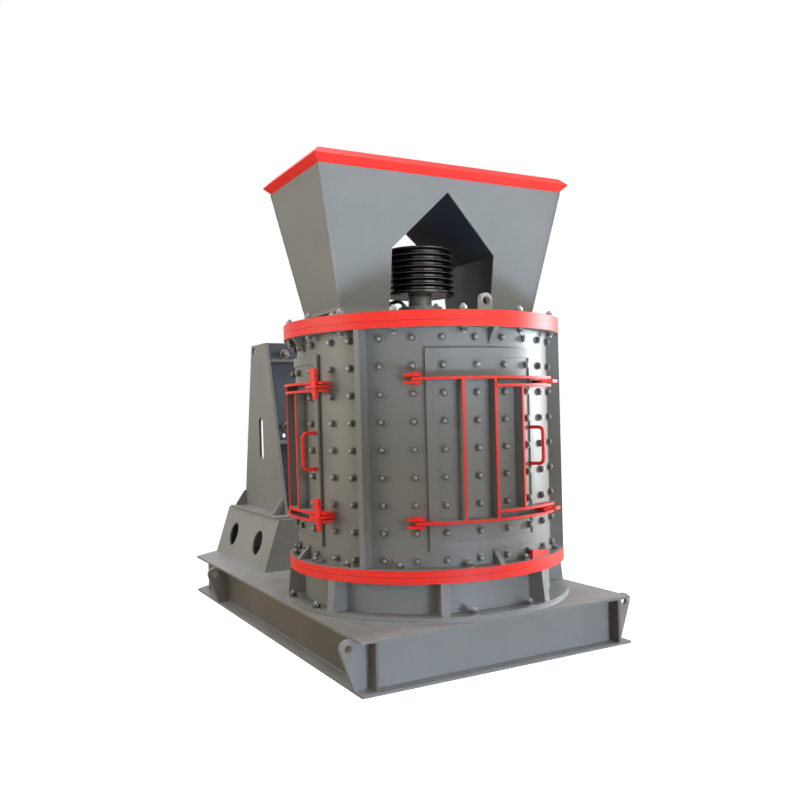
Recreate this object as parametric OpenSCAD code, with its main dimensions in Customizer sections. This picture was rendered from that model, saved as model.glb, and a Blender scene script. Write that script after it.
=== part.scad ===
// Sand making machine: a vertical compound crusher on a welded base frame.
// Millimetres. The origin is the centre of the underside of the base frame, +Z up.
// The barrel stands at the +X end of the base and the motor stand at the -X end.
// Angles on the barrel turn anticlockwise seen from above, from +X.

/* [Base frame] */
// Clear distance on the deck between the barrel flanges and the motor stand
stand_clear = 280; // [240:5:400]
// Height of the deck above the floor
deck_z = 231; // [180:1:300]
// Thickness of the deck plate
deck_t = 12; // [8:1:20]
// Thickness of the bottom flange plates
foot_t = 12; // [8:1:20]
// Width of the bottom flange plates
foot_w = 142; // [120:2:200]
// Thickness of the beam webs
web_t = 12; // [8:1:20]
// Distance from the plate edge in to the beam webs
web_inset = 65; // [50:1:90]
// Length of the cut-off rear corners
corner_l = 141; // [60:1:220]
// Width of the cut-off rear corners
corner_w = 173; // [80:1:220]
// Deck left free at each side of the pedestal's base ring
deck_side = 3; // [1:1:60]
// Deck left free in front of the pedestal's base ring
deck_front = 2; // [1:1:60]
// Distance of the first hidden cross beam behind the pedestal's bore
cross_gap = 60; // [55:1:90]
// Pitch of the hidden cross beams
cross_pitch = 450; // [400:5:500]

/* [Lifting lugs] */
// Thickness of the base lifting lugs
lug_t = 20; // [12:1:30]
// Radius of the rounded lug heads
lug_r = 38; // [32:1:44]
// Radius of the holes in the base lifting lugs
lug_hole_r = 17; // [12:1:20]
// Height of the lug holes above the floor
lug_hole_z = 190; // [160:1:200]
// Distance of the front lugs from the front edge of the base
lug_front = 70; // [68:1:140]
// Distance of the rear lugs from the rear edge of the base
lug_rear = 628; // [300:2:800]

/* [Pedestal] */
// Distance that the pedestal's base ring stands out past the flanges
ped_lip = 18; // [10:1:40]
// Thickness of the pedestal's base ring
ped_ring_t = 23; // [15:1:40]
// Distance that the pedestal shell stands back from the barrel wall
ped_step = 12; // [0:1:30]
// Wall of the pedestal shell
ped_wall = 20; // [12:1:30]
// Height of the pedestal over its base ring and top ring
ped_h = 199; // [170:1:260]
// Number of pedestal ribs
ped_ribs = 8; // [6:1:12]
// Thickness of the pedestal ribs
ped_rib_t = 40; // [20:1:50]
// Angle of the first pedestal rib
ped_rib_a = 21.9; // [15:0.1:30]

/* [Barrel] */
// Outside radius of the barrel wall
wall_r = 636; // [630:1:645]
// Distance that the flanges stand out past the barrel wall
flange_lip = 64; // [50:1:80]
// Thickness of each barrel flange
flange_t = 30; // [20:1:40]
// Height of the barrel over its two flanges
barrel_h = 1125; // [1100:1:1250]
// Thickness of the barrel wall
wall_t = 16; // [10:1:20]
// Thickness of the liner plates
liner_t = 34; // [20:1:40]
// Thickness of the top cover
cover_t = 43; // [30:1:60]
// Thickness of the full height wall ribs
rib_t = 25; // [12:1:40]
// Angle of the front wall ribs on each side of the front door
rib_a = 53.6; // [48:0.2:57]
// Angle of the rear wall ribs
rib_rear_a = 153.6; // [148:0.2:160]
// Thickness of the small flange gussets
gusset_t = 25; // [8:1:30]
// Height of the small gussets under the top flange
gusset_top_h = 74; // [50:1:80]
// Height of the small gussets on the bottom flange
gusset_low_h = 64; // [40:1:68]

/* [Doors] */
// Angle between the front door and each side door
door_step = 101; // [98:0.5:104]
// Left edge of the door plate, from the door's own angle
door_a0 = -28; // [-29:0.5:-27]
// Right edge of the door plate, from the door's own angle
door_a1 = 22.8; // [22:0.1:23]
// Distance of the doors' lower edges above the bottom flange
door_low = 74; // [70:1:90]
// Distance of the doors' upper edges below the top flange
door_top = 92; // [90:1:130]
// Angle that the door plate laps over the wall on its hinge side
lap_a0 = 4; // [3:0.1:5]
// Angle that the door plate laps over the wall on its clamp side
lap_a1 = 2.4; // [2:0.1:3]
// Height that the door plate laps over the wall above and below
door_lap_z = 43; // [30:1:50]
// Thickness of the door plate
door_t = 6; // [4:1:10]
// Thickness of the raised border strips
border_t = 6; // [4:1:8]
// Working clearance between a door and the barrel
door_gap = 5; // [5:0.5:8]

/* [Door bands and hinges] */
// Thickness of the curved door bands
band_t = 12; // [8:1:14]
// Distance that the door bands stand out past the barrel wall
band_reach = 69; // [64:1:80]
// Distance of the lower main band above the door's lower edge
band_low = 125; // [100:1:160]
// Distance of the upper main band below the door's upper edge
band_top = 140; // [120:1:180]
// Right end of the door bands, from the door's own angle
band_a1 = 31; // [29:0.5:32]
// Left end of the short second bands
band_short_a = -1.4; // [-1.8:0.1:-1.2]
// Distance between the facing sides of a pair of bands
band_pair_gap = 24; // [22:1:30]
// Thickness of the upright door bars
bar_t = 12; // [8:1:16]
// Distance that the upright door bars stand out past the barrel wall
bar_reach = 64; // [44:1:68]
// Angle of the hinge pins, from the door's own angle
hinge_a = -31.5; // [-32:0.1:-31]
// Distance of the hinge pins out from the barrel wall
hinge_reach = 44; // [40:1:48]
// Radius of the hinge pins
pin_r = 10; // [8:0.5:12]
// Running clearance of the hinge pins
pin_gap = 0.1; // [0.05:0.01:0.2]
// Radius of the hinge eyes and fork noses
eye_r = 22; // [18:1:24]
// Space on each side of a hinge eye in its fork
fork_gap = 4; // [3:0.5:6]
// Thickness of the fork lugs
fork_t = 12; // [8:1:16]

/* [Wedge clamps and handles] */
// Thickness of the clamp tongues on the barrel
tongue_t = 14; // [8:1:14]
// Distance that the clamp tongues stand out past the barrel wall
tongue_reach = 102; // [96:1:110]
// Right end of the clamp tongues, from the door's own angle
tongue_a1 = 30.6; // [30.4:0.1:32]
// Angle where the tongue's outer edge starts to slope in to its nose
tongue_slope_a = 26.5; // [26:0.1:27]
// Angle of the centre of the tongue's nose
tongue_nose_a = 22.4; // [22.2:0.1:22.6]
// Radius of the tongue's rounded nose
tongue_nose_r = 8; // [4:1:10]
// Angle of the wedges, from the door's own angle
wedge_a = 27.9; // [27.6:0.1:28.2]
// Length of a wedge
wedge_l = 145; // [120:1:160]
// Width of a wedge at its head
wedge_w1 = 42; // [36:1:44]
// Width of a wedge at its tip
wedge_w0 = 21; // [16:1:24]
// Thickness of a wedge
wedge_t = 14; // [10:1:16]
// Lean of a wedge's straight edge from upright
wedge_lean = 2.4; // [1:0.1:4]
// Distance of a wedge's tip right of the middle of its slot
wedge_side = 16; // [12:1:18]
// Height of a wedge's head above its tongue
wedge_head = 78; // [60:1:90]
// Angle of the loose wedge on the bottom flange
loose_a = 22.5; // [15:0.5:30]
// Distance of the loose wedge from the barrel wall
loose_gap = 30; // [10:1:40]
// Diameter of the handle bar
handle_d = 16; // [12:1:20]
// Distance between the handle's feet
handle_l = 169; // [140:1:200]
// Distance that the handle's grip stands out past the barrel wall
handle_reach = 86; // [76:1:96]
// Angle of the handle, from the door's own angle
handle_a = 20.5; // [18:0.5:21]

/* [Hopper] */
// Height of the hopper walls' lower edge above the cover
hopper_lift = 52; // [40:1:80]
// Height of the hopper walls
hopper_h = 626; // [580:1:750]
// Half width of the hopper at the lower edge, along the belt
hopper_x0 = 214; // [205:1:225]
// Distance of the hopper's lower edge in from the rim of the cover
hopper_in = 151; // [148:1:160]
// Distance that the long walls lean out at their upper edges
hopper_flare_x = 102; // [80:1:130]
// Distance that the end walls lean out at their upper edges
hopper_flare_y = 127; // [100:1:170]
// Thickness of the hopper plates
hopper_t = 8; // [5:1:12]
// Leg length of the rim angle, measured square to the wall's edge
rim_leg = 34; // [20:1:40]
// Thickness of the rim angle
rim_t = 6; // [4:1:8]
// Half width of the belt tunnel through the hopper
tunnel_w = 289; // [270:1:300]
// Height of the tunnel's side plates
tunnel_side = 282; // [250:1:330]
// Height of the tunnel's roof over its side plates
tunnel_roof = 280; // [220:1:300]
// Space between the tunnel and the feed openings
feed_gap = 14; // [10:1:30]

/* [Drive and rotor] */
// Outside radius of the sheave
sheave_r = 177; // [150:1:200]
// Number of belt grooves
grooves = 7; // [5:1:8]
// Pitch of the belt grooves
groove_pitch = 30.4; // [26:0.2:31]
// Depth of the belt grooves
groove_d = 21; // [12:1:24]
// Width of the lands between the belt grooves
groove_land = 3; // [2:0.5:5]
// Height of the sheave's underside above the cover
sheave_lift = 148; // [120:1:170]
// Thickness of the plain bottom rim of the sheave
sheave_rim = 10; // [8:1:40]
// Height of the upper bearing housing
housing_h = 89; // [70:1:110]
// Wall of the bearing housings
housing_wall = 90; // [60:1:100]
// Radius of the shaft in its bearings
shaft_r = 60; // [50:1:70]
// Radius of the shaft in the sheave
shaft_top_r = 50; // [40:1:55]
// Radius of the shaft between the rotor discs
shaft_mid_r = 85; // [72:1:100]
// Running clearance in the bearings
bearing_gap = 0.1; // [0.05:0.01:0.2]
// Number of rotor discs
discs = 3; // [2:1:3]
// Gap between the hammers and the liners
hammer_gap = 46; // [20:1:60]
// Length that the hammers stand out past the discs
hammer_reach = 110; // [80:1:130]
// Thickness of the rotor discs
disc_t = 30; // [20:1:40]
// Height of the lowest rotor disc above the barrel's floor
disc_lift = 180; // [160:1:220]
// Pitch of the rotor discs
disc_pitch = 250; // [230:1:260]
// Hammers on each disc
hammers = 6; // [4:1:8]

/* [Motor stand] */
// Length of the stand box
stand_l = 1007; // [960:1:1050]
// Gap from the rear edge of the base to the stand box
stand_gap = 3; // [2:1:20]
// Distance that the stand box narrows in at each side to its top
stand_batter = 98; // [60:1:140]
// Height of the stand box
stand_h = 300; // [260:1:340]
// Thickness of the stand plates
stand_t = 12; // [8:1:16]
// Radius of the hand holes in the stand box
hand_r = 76; // [60:1:90]
// Distance between the hand holes
hand_pitch = 489; // [400:1:560]
// Thickness of the column's foot plate
col_foot_t = 14; // [10:1:20]
// Ledge of the stand box outside the column's side plates
col_ledge = 86; // [80:1:100]
// Thickness of the column plates
col_t = 16; // [10:1:20]
// Height of the column
col_h = 1072; // [1000:1:1150]
// Distance from the rear of the stand box to the column's rear edge
col_rear = 90; // [75:1:110]
// Distance from the front of the stand box to the column's front edge
col_front = 115; // [100:1:130]
// Slope of the column's rear edge, foot to top
col_lean = 234; // [200:1:250]
// Width of the column side plates at the top
col_w1 = 293; // [270:1:330]
// Width of the long slots in the side plates
slot_w = 78; // [60:1:90]
// Length of the long slots in the side plates
slot_l = 276; // [240:1:300]
// Radius of the round holes at the top of the side plates
eye_hole_r = 28; // [20:1:32]
// Thickness of the motor plate
motor_t = 20; // [16:1:24]
// Distance of the motor plate behind the front edge at the top
motor_inset = 16; // [10:1:40]
// Distance from the column's side to the motor bolts
motor_side = 128; // [100:1:180]
// Distance of the upper motor bolts below the column's top
motor_top = 71; // [60:1:90]
// Height between the upper and the lower motor bolts
motor_pitch = 468; // [440:1:480]
// Radius of the motor bolt holes
motor_hole_r = 17; // [10:1:20]
// Radius of the two small holes under the motor bolts
small_hole_r = 14; // [8:1:16]
// Distance of each shelf below the motor bolts above it
shelf_drop = [52, 104]; // [30:1:150]

/* [Hidden] */
$fn = 96;

paint = [0.49, 0.50, 0.47];
red = [0.93, 0.17, 0.13];
black = [0.05, 0.05, 0.055];
steel = [0.55, 0.54, 0.52];

flange_r = wall_r + flange_lip;
wall_inner_r = wall_r - wall_t;
liner_r = wall_inner_r - liner_t;
ped_ring_r = flange_r + ped_lip;
ped_r = wall_r - ped_step;
ped_inner_r = ped_r - ped_wall;

base_w = 2 * (ped_ring_r + deck_side);
barrel_inset = ped_ring_r + deck_front;
base_l = barrel_inset + flange_r + stand_clear + stand_l + stand_gap;
front_x = base_l / 2;
rear_x = -base_l / 2;
barrel_x = front_x - barrel_inset;
over = 1;
seat_gap = 0.3;

joint_z = deck_z + ped_h;
cover_z = joint_z + barrel_h;
wall_z0 = joint_z + flange_t;
wall_z1 = cover_z - flange_t;
top_z = cover_z + cover_t;

door_z0 = wall_z0 + door_low;
door_z1 = wall_z1 - door_top;
window_a0 = door_a0 + lap_a0;
window_a1 = door_a1 - lap_a1;
window_z0 = door_z0 + door_lap_z;
window_z1 = door_z1 - door_lap_z;
plug_gap_a = door_gap / liner_r * 180 / PI + 0.2;
plate_r0 = wall_r + door_gap;
plate_r1 = plate_r0 + door_t;
border_r = plate_r1 + border_t;
door_angles = [0, -door_step, door_step];
bar_angles = [-14.5, -1.5, 11.4];

band_r = wall_r + band_reach;
bar_r = wall_r + bar_reach;
hinge_r = wall_r + hinge_reach;
handle_r = wall_r + handle_reach;
tongue_r = wall_r + tongue_reach;
band_low_z = door_z0 + band_low;
band_top_z = door_z1 - band_top;
pair_step = band_t + band_pair_gap;
short_top_z = band_top_z - pair_step;
short_low_z = band_low_z + pair_step;
tongue_lift = (band_pair_gap - tongue_t) / 2;
tongue_top_z = short_top_z + band_t + tongue_lift;
tongue_low_z = band_low_z + band_t + tongue_lift;
wedge_x = band_r + seat_gap;

hopper_z0 = top_z + hopper_lift;
hopper_z = hopper_z0 + hopper_h;
hopper_y0 = flange_r - hopper_in;
hopper_x1 = hopper_x0 + hopper_flare_x;
hopper_y1 = hopper_y0 + hopper_flare_y;
tunnel_z0 = hopper_z0 + tunnel_side;
tunnel_z1 = tunnel_z0 + tunnel_roof;
feed_x = hopper_x0 - 20;
feed_y0 = tunnel_w + feed_gap;
feed_y1 = hopper_y0 - 29;

shaft_z0 = deck_z + 59;
spider_z0 = deck_z + 35;
spider_z1 = joint_z - 30;
housing_z = top_z + housing_h;
sheave_z = top_z + sheave_lift;
hammer_r = liner_r - hammer_gap;
disc_r = hammer_r - hammer_reach;
disc_z = wall_z0 + disc_lift;

stand_x0 = rear_x + stand_gap;
stand_x1 = stand_x0 + stand_l;
stand_y0 = base_w / 2 - corner_w;
stand_y1 = stand_y0 - stand_batter;
stand_z = deck_z + stand_h;
col_z0 = stand_z + col_foot_t;
col_z = col_z0 + col_h;
col_y = stand_y1 - col_ledge;
col_x0 = stand_x0 + col_rear;
col_x1 = stand_x1 - col_front;
col_top_x0 = col_x0 + col_lean;
col_top_x1 = col_top_x0 + col_w1;
motor_x1 = col_top_x1 - motor_inset;
motor_x0 = motor_x1 - motor_t;
motor_y = col_y - motor_side;
motor_z1 = col_z - motor_top;
motor_z0 = motor_z1 - motor_pitch;

// Places its children on the barrel axis
module at_barrel() {
    translate([barrel_x, 0, 0]) children();
}

// Extrudes an outline drawn in Y and Z along X, from x0 to x1
module along_x(x0, x1) {
    translate([x0, 0, 0]) rotate([90, 0, 90]) linear_extrude(x1 - x0) children();
}

// Extrudes an outline drawn in X and Z along Y, from y0 to y1
module along_y(y0, y1) {
    translate([0, y1, 0]) rotate([90, 0, 0]) linear_extrude(y1 - y0) children();
}

// A curved wall about the Z axis between two radii, two angles and two heights
module arc_wall(r0, r1, a0, a1, z0, z1) {
    rotate([0, 0, a0])
        translate([0, 0, z0])
            rotate_extrude(angle = a1 - a0)
                translate([r0, 0]) square([r1 - r0, z1 - z0]);
}

// A full ring about the Z axis
module ring(r0, r1, z0, z1) {
    translate([0, 0, z0]) difference() {
        cylinder(r = r1, h = z1 - z0);
        translate([0, 0, -over]) cylinder(r = r0, h = z1 - z0 + 2 * over);
    }
}

// A flat plate that stands radially at angle a; its outline is drawn in radius and Z
module radial_plate(a, t) {
    rotate([0, 0, a]) along_y(-t / 2, t / 2) children();
}

// A solid at angle a and radius r, with its own X pointing outwards
module at_polar(a, r, z = 0) {
    rotate([0, 0, a]) translate([r, 0, z]) children();
}

// Rounded slot outline, w wide and h high
module slot_outline(w, h) {
    square([w, h - w], center = true);
    translate([0, (h - w) / 2]) circle(d = w);
    translate([0, -(h - w) / 2]) circle(d = w);
}

// Base plan outline drawn in by the distance i, with its rear corners cut off
function base_outline(i) =
    let (
        w = base_w / 2 - i,
        c = norm([corner_l, corner_w]),
        cut_x = rear_x + corner_l + i * (c - corner_l) / corner_w,
        cut_y = base_w / 2 - corner_w - i * (c - corner_w) / corner_l
    )
    [
        [front_x - i, -w], [front_x - i, w], [cut_x, w], [rear_x + i, cut_y],
        [rear_x + i, -cut_y], [cut_x, -w]
    ];

module deck_plate() {
    color(paint) difference() {
        translate([0, 0, deck_z - deck_t]) linear_extrude(deck_t) polygon(base_outline(0));
        at_barrel() translate([0, 0, deck_z - deck_t - over])
            cylinder(r = ped_inner_r - 20, h = deck_t + 2 * over);
    }
}

module bottom_flanges() {
    color(paint) linear_extrude(foot_t) difference() {
        polygon(base_outline(0));
        polygon(base_outline(foot_w));
    }
}

web_z1 = deck_z - deck_t;
web_y = base_w / 2 - web_inset;
web_cut_x = base_outline(web_inset)[2][0];

module side_webs() {
    color(paint) for (side = [-1, 1])
        translate([web_cut_x, side > 0 ? web_y - web_t : -web_y, foot_t])
            cube([front_x - web_cut_x, web_t, web_z1 - foot_t]);
}

module end_webs() {
    color(paint) {
        translate([front_x - web_inset - web_t, -web_y + web_t, foot_t])
            cube([web_t, 2 * (web_y - web_t), web_z1 - foot_t]);
        translate([0, 0, foot_t]) linear_extrude(web_z1 - foot_t) intersection() {
            difference() {
                polygon(base_outline(web_inset));
                polygon(base_outline(web_inset + web_t));
            }
            translate([rear_x, -base_w / 2]) square([web_cut_x - rear_x, base_w]);
        }
    }
}

module cross_beams() {
    first = ped_inner_r + cross_gap;
    color(paint) for (x = [first, first + cross_pitch, first + 2 * cross_pitch]) {
        translate([barrel_x - x - web_t / 2, -web_y + web_t, foot_t])
            cube([web_t, 2 * (web_y - web_t), web_z1 - foot_t]);
        translate([barrel_x - x - 50, -base_w / 2 + foot_w, 0])
            cube([100, base_w - 2 * foot_w, foot_t]);
    }
}

lug_y = base_w / 2 + sqrt(lug_r * lug_r - pow(web_z1 - lug_hole_z, 2)) + seat_gap;
lug_foot_y = base_w / 2 + 3;

// The point where a line from p touches a circle at c, on its far side in Y
function touch_point(p, c, r) =
    let (
        d = norm(c - p),
        base = atan2(c[1] - p[1], c[0] - p[0]),
        turn = asin(r / d)
    )
    p + sqrt(d * d - r * r) * [cos(base - turn), sin(base - turn)];

module lifting_lug() {
    centre = [lug_y, lug_hole_z];
    foot = [lug_foot_y, foot_t];
    difference() {
        union() {
            translate(centre) circle(r = lug_r);
            polygon([
                [web_y, foot_t], foot, touch_point(foot, centre, lug_r), centre,
                [base_w / 2, web_z1], [web_y, web_z1]
            ]);
        }
        translate(centre) circle(r = lug_hole_r);
    }
}

module base_lifting_lugs() {
    color(paint) for (side = [0, 1], x = [front_x - lug_front - lug_t, rear_x + lug_rear])
        translate([x, 0, 0]) mirror([0, side, 0])
            along_x(0, lug_t) mirror([1, 0]) lifting_lug();
}

module pedestal_base_ring() {
    color(paint) at_barrel() ring(ped_inner_r, ped_ring_r, deck_z, deck_z + ped_ring_t);
}

ped_z0 = deck_z + ped_ring_t;
ped_z1 = joint_z - flange_t;

module pedestal_shell() {
    color(paint) at_barrel() ring(ped_inner_r, ped_r, ped_z0, ped_z1);
}

module pedestal_ribs() {
    color(paint) at_barrel() difference() {
        for (k = [0:ped_ribs - 1])
            radial_plate(ped_rib_a + k * 360 / ped_ribs, ped_rib_t)
                polygon([
                    [ped_r - 10, ped_z0], [ped_ring_r - 5, ped_z0],
                    [flange_r - 2, ped_z1], [ped_r - 10, ped_z1]
                ]);
        cylinder(r = ped_r, h = joint_z);
    }
}

module pedestal_top_ring() {
    color(red) at_barrel() ring(ped_inner_r, flange_r, ped_z1, joint_z);
}

module barrel_bottom_flange() {
    color(red) at_barrel() ring(wall_inner_r, flange_r, joint_z, wall_z0);
}

module barrel_top_flange() {
    color(red) at_barrel() ring(wall_inner_r, flange_r, wall_z1, cover_z);
}

module wall_under_doors() {
    color(paint) at_barrel() ring(wall_inner_r, wall_r, wall_z0, window_z0);
}

module wall_over_doors() {
    color(paint) at_barrel() ring(wall_inner_r, wall_r, window_z1, wall_z1);
}

// The wall between two doors, or half of it where it is long
module wall_post(a0, a1) {
    color(paint) at_barrel() arc_wall(wall_inner_r, wall_r, a0, a1, window_z0, window_z1);
}

module wall_front_left() {
    wall_post(window_a1 - door_step, window_a0);
}

module wall_front_right() {
    wall_post(window_a1, window_a0 + door_step);
}

module wall_rear_right() {
    wall_post(window_a1 + door_step, 180);
}

module wall_rear_left() {
    wall_post(-180, window_a0 - door_step);
}

gusset_angles = [0, 92, 127, 180, 233, 268];

module wall_ribs() {
    color(paint) at_barrel() difference() {
        union() {
            for (a = [-rib_a, rib_a, -rib_rear_a, rib_rear_a])
                radial_plate(a, rib_t)
                    translate([wall_inner_r, wall_z0])
                        square([flange_r - 1 - wall_inner_r, wall_z1 - wall_z0]);
            for (a = gusset_angles) {
                radial_plate(a, gusset_t)
                    polygon([
                        [wall_inner_r, wall_z1], [flange_r - 5, wall_z1],
                        [wall_r, wall_z1 - gusset_top_h], [wall_inner_r, wall_z1 - gusset_top_h]
                    ]);
                radial_plate(a, gusset_t)
                    polygon([
                        [wall_inner_r, wall_z0], [flange_r - 5, wall_z0], [flange_r - 5, wall_z0 + 6],
                        [wall_r, wall_z0 + gusset_low_h], [wall_inner_r, wall_z0 + gusset_low_h]
                    ]);
            }
        }
        cylinder(r = wall_r, h = top_z);
    }
}

// Liner plates inside the wall, open where the doors are
module wall_liners() {
    color(steel) at_barrel() difference() {
        ring(liner_r, wall_inner_r - 0.4, wall_z0, wall_z1);
        for (a = door_angles)
            rotate([0, 0, a])
                arc_wall(liner_r - 10, wall_r, window_a0, window_a1, window_z0, window_z1);
    }
}

// The door plate with its raised border and the lined plug that fills the window
module door_leaf() {
    lower = window_z0 + door_gap + 1;
    upper = window_z1 - door_gap - 1;
    mid_r = (plate_r0 + plate_r1) / 2;
    difference() {
        arc_wall(plate_r0, border_r, door_a0, door_a1, door_z0, door_z1);
        arc_wall(plate_r1, border_r + over, window_a0, window_a1, window_z0, window_z1);
    }
    arc_wall(liner_r, mid_r, window_a0 + plug_gap_a, window_a1 - plug_gap_a, lower, upper);
}

// Curved bands, upright bars and hinge eyes of one door, as one welded frame
module door_bands() {
    difference() {
        union() {
            for (z = [band_top_z, band_low_z]) {
                arc_wall(border_r, band_r, hinge_a, band_a1, z, z + band_t);
                at_polar(hinge_a, hinge_r, z) cylinder(r = eye_r, h = band_t);
            }
            for (z = [short_top_z, short_low_z])
                arc_wall(border_r, band_r, band_short_a, band_a1, z, z + band_t);
            for (a = [bar_angles[0], bar_angles[1]])
                radial_plate(a, bar_t)
                    translate([plate_r1, band_low_z + 1])
                        square([bar_r - plate_r1, band_top_z + band_t - band_low_z - 2]);
            radial_plate(bar_angles[2], bar_t)
                translate([plate_r1, short_low_z + 1])
                    square([bar_r - plate_r1, short_top_z + band_t - short_low_z - 2]);
        }
        translate([0, 0, window_z0]) cylinder(r = plate_r1, h = window_z1 - window_z0);
        for (z = [band_top_z, band_low_z])
            at_polar(hinge_a, hinge_r, z - over) {
                cylinder(r = pin_r + pin_gap, h = band_t + 2 * over);
                difference() {
                    translate([-60, -60, 0]) cube([120, 60, band_t + 2 * over]);
                    cylinder(r = eye_r, h = band_t + 2 * over);
                }
            }
    }
}

// Round bar handle with bent corners
module door_handle() {
    bend = 24;
    foot_r = border_r;
    reach = handle_r - foot_r;
    half = handle_l / 2;
    rotate([0, 0, handle_a]) translate([foot_r, 0, (door_z0 + door_z1) / 2]) {
        for (side = [0, 1]) mirror([0, 0, side]) {
            translate([0, 0, half]) rotate([0, 90, 0]) cylinder(d = handle_d, h = reach - bend);
            translate([0, 0, half]) rotate([0, 90, 0]) cylinder(d = handle_d * 1.35, h = 4);
            translate([reach - bend, 0, half - bend]) rotate([90, 0, 0])
                rotate_extrude(angle = 90) translate([bend, 0]) circle(d = handle_d);
        }
        translate([reach, 0, -half + bend]) cylinder(d = handle_d, h = handle_l - 2 * bend);
    }
}

module front_door() {
    color(paint) at_barrel() door_leaf();
}

module front_door_bands() {
    color(red) at_barrel() door_bands();
}

module front_door_handle() {
    color(red) at_barrel() door_handle();
}

module left_door() {
    color(paint) at_barrel() rotate([0, 0, -door_step]) door_leaf();
}

module left_door_bands() {
    color(red) at_barrel() rotate([0, 0, -door_step]) {
        door_bands();
        door_handle();
    }
}

module right_door() {
    color(paint) at_barrel() rotate([0, 0, door_step]) door_leaf();
}

module right_door_bands() {
    color(red) at_barrel() rotate([0, 0, door_step]) {
        door_bands();
        door_handle();
    }
}

// Two lugs that straddle a hinge eye, with the pin through them
module hinge_fork(z) {
    low = z - fork_gap - fork_t;
    high = z + band_t + fork_gap;
    for (lug = [low, high])
        difference() {
            union() {
                arc_wall(wall_r, flange_r, hinge_a - 4.5, hinge_a, lug, lug + fork_t);
                at_polar(hinge_a, hinge_r, lug) cylinder(r = eye_r, h = fork_t);
            }
            cylinder(r = wall_r, h = top_z);
        }
    at_polar(hinge_a, hinge_r, low - 6) {
        cylinder(r = pin_r, h = high + fork_t - low + 12);
        translate([0, 0, high + fork_t - low + 6]) cylinder(r = pin_r * 1.5, h = 7);
    }
}

module hinge_forks() {
    color(red) at_barrel() for (a = door_angles, z = [band_low_z, band_top_z])
        rotate([0, 0, a]) hinge_fork(z);
}

// The point at radius r and angle a about the barrel axis
function polar(r, a) = r * [cos(a), sin(a)];

// The flat plate on the barrel that reaches between a pair of bands and takes the wedge
// outside them; its near side clears the swing of the door's free corner
module clamp_tongue(z) {
    pin = polar(hinge_r, hinge_a);
    swing_r = norm(polar(border_r, door_a1) - pin) + door_gap;
    nose = polar(band_r - 1, tongue_nose_a);
    shoulder = polar(tongue_r, tongue_slope_a);
    below = wedge_l - wedge_head;
    slot_y0 = wedge_side - below * sin(wedge_lean) - wedge_width(below) * cos(wedge_lean) - seat_gap;
    slot_y1 = wedge_side - (below - tongue_t) * sin(wedge_lean) + seat_gap;
    translate([0, 0, z]) linear_extrude(tongue_t) difference() {
        union() {
            intersection() {
                polygon([
                    polar(wall_r - 20, tongue_a1), polar(tongue_r + 22, tongue_a1), shoulder,
                    touch_point(shoulder, nose, -tongue_nose_r), nose, polar(wall_r - 20, tongue_nose_a - 2)
                ]);
                circle(r = tongue_r);
            }
            translate(nose) circle(r = tongue_nose_r);
        }
        circle(r = wall_r);
        translate(pin) circle(r = swing_r);
        rotate(wedge_a) translate([wedge_x - 2, slot_y0])
            square([wedge_t + 2 + seat_gap, slot_y1 - slot_y0]);
    }
}

module clamp_tongues() {
    color(red) at_barrel() for (a = door_angles, z = [tongue_low_z, tongue_top_z])
        rotate([0, 0, a]) clamp_tongue(z);
}

// Width of a wedge at the distance d from its tip
function wedge_width(d) = wedge_w0 + (wedge_w1 - wedge_w0) * d / wedge_l;

// A tapered wedge standing on its tip, with its straight edge at Y = 0
module wedge() {
    along_x(0, wedge_t)
        polygon([[-wedge_w0, 0], [0, 0], [0, wedge_l], [-wedge_w1, wedge_l]]);
}

module wedge_pins() {
    heads = [tongue_top_z + tongue_t + wedge_head, tongue_low_z + tongue_t + wedge_head];
    color(red) at_barrel() for (a = [-door_step, door_step], z = heads)
        rotate([0, 0, a + wedge_a]) translate([wedge_x, wedge_side, z - wedge_l])
            rotate([wedge_lean, 0, 0]) wedge();
}

// The front door's spare wedge, standing on its edge on the bottom flange
module loose_wedge() {
    color(red) at_barrel() at_polar(loose_a, wall_r + loose_gap, wall_z0)
        translate([0, wedge_l / 2, 0]) mirror([0, 1, 0]) rotate([-90, 0, 0]) wedge();
}

// The cover plate with its two feed openings and the bore for the bearing
module top_cover() {
    color(red) at_barrel() difference() {
        ring(shaft_mid_r + 25, flange_r, cover_z, top_z);
        for (side = [-1, 1])
            translate([-feed_x, side > 0 ? feed_y0 : -feed_y1, cover_z - over])
                cube([2 * feed_x, feed_y1 - feed_y0, cover_t + 2 * over]);
    }
}

module cover_lugs() {
    lug_w = 64;
    thick = 25;
    height = 88;
    hole_z = top_z + 52;
    outer = flange_r - 85;
    color(paint) at_barrel() for (x = [outer - thick, -outer])
        along_x(x, x + thick) difference() {
            union() {
                translate([-lug_w / 2, top_z]) square([lug_w, height - lug_w / 2]);
                translate([0, top_z + height - lug_w / 2]) circle(d = lug_w);
            }
            translate([0, hole_z]) circle(r = 20);
        }
}

// Flanged housing of the upper bearing
module upper_bearing() {
    collar_r = shaft_r + housing_wall;
    cap_r = shaft_r + 0.6 * housing_wall;
    color(steel) at_barrel() rotate_extrude() polygon([
        [shaft_r + bearing_gap, top_z], [collar_r + 40, top_z], [collar_r + 40, top_z + 27],
        [collar_r, top_z + 33], [collar_r, housing_z - 22], [cap_r, housing_z - 20],
        [cap_r, housing_z],
        [shaft_r + bearing_gap, housing_z]
    ]);
}

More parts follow.
